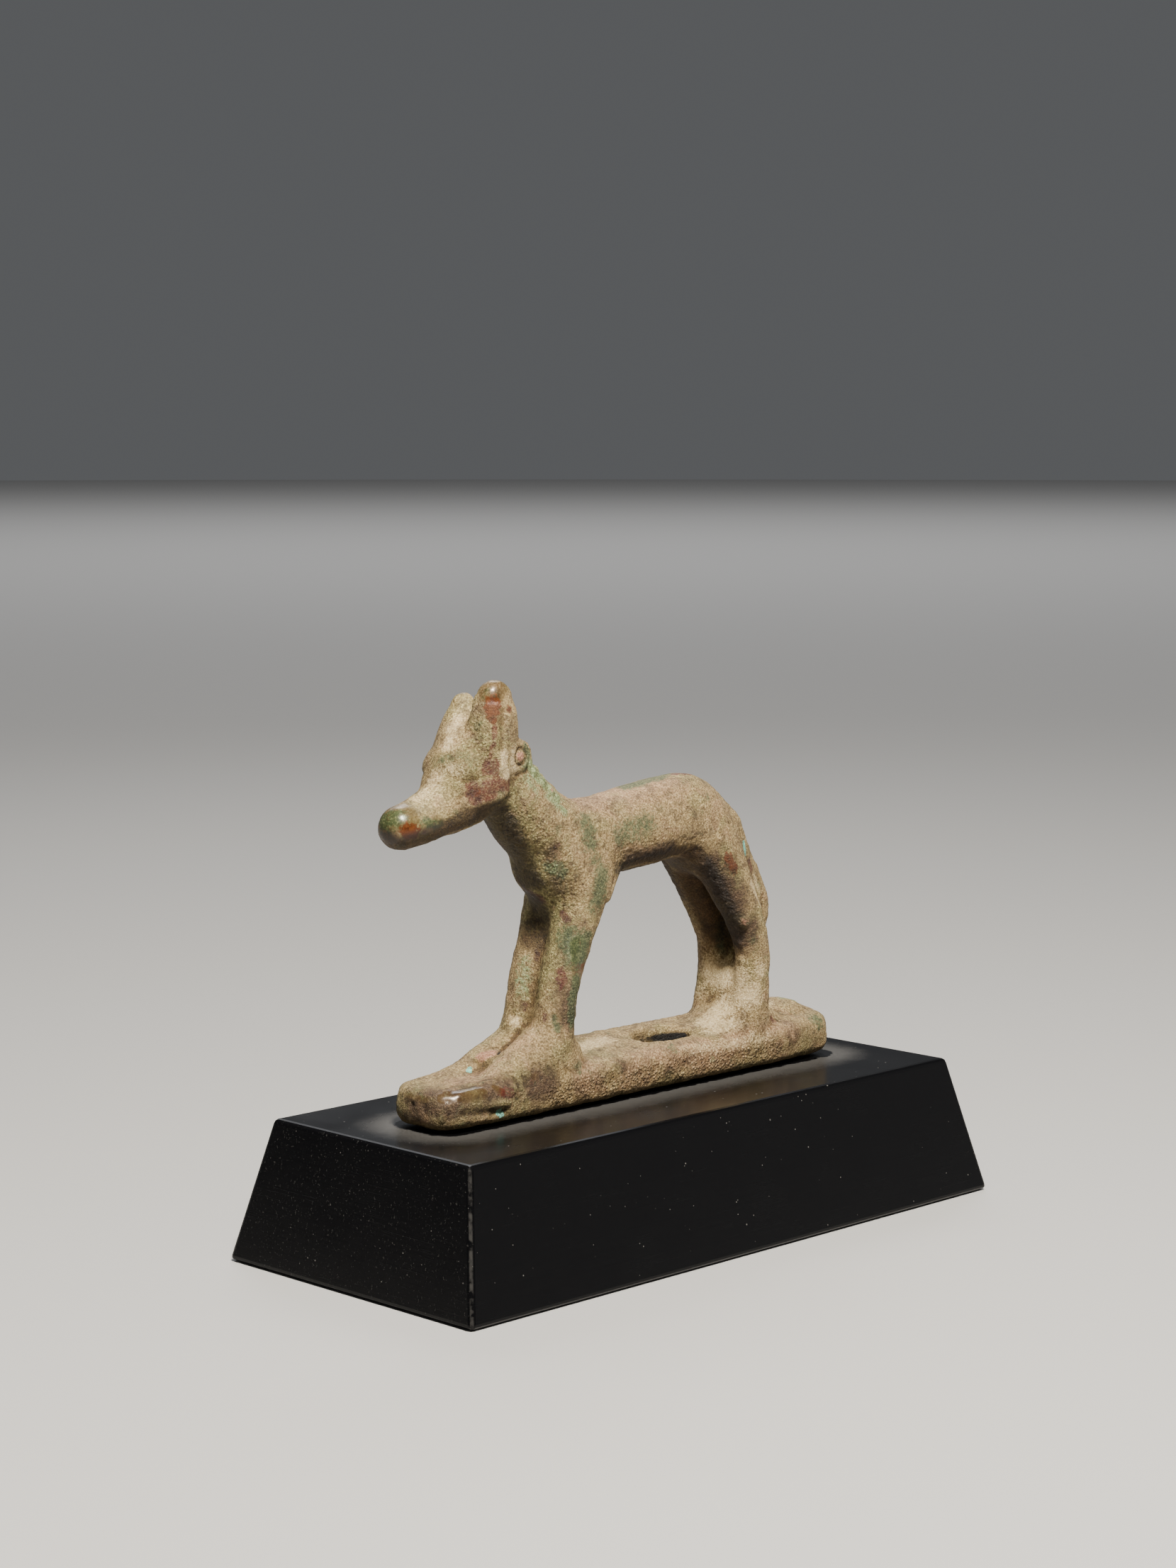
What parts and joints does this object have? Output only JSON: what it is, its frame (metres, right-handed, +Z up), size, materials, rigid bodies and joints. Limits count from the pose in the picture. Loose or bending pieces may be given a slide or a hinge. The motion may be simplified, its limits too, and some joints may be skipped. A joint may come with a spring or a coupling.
{
  "type": "bronze wepwawet figure",
  "caption": "Small cast bronze standing jackal, head thrust forward, cast with its long sled base and set on a black block with sloping sides.",
  "frame": {"origin": "middle of the plinth's underside", "axes": "+Z up; X runs along the plinth and the animal, which faces -X; its left side looks towards -Y"},
  "size_m": [0.1048, 0.0484, 0.0794],
  "materials": {
    "patinated_bronze": "old cast bronze under a granular tan crust, with red and green corrosion and a few worn glossy places",
    "black_lacquer": "gloss black lacquer, worn a little on the edges, with dust on the top"
  },
  "bodies": {
    "root": {"jackal_figure": "patinated_bronze", "plinth": "black_lacquer"}
  },
  "joints": []
}
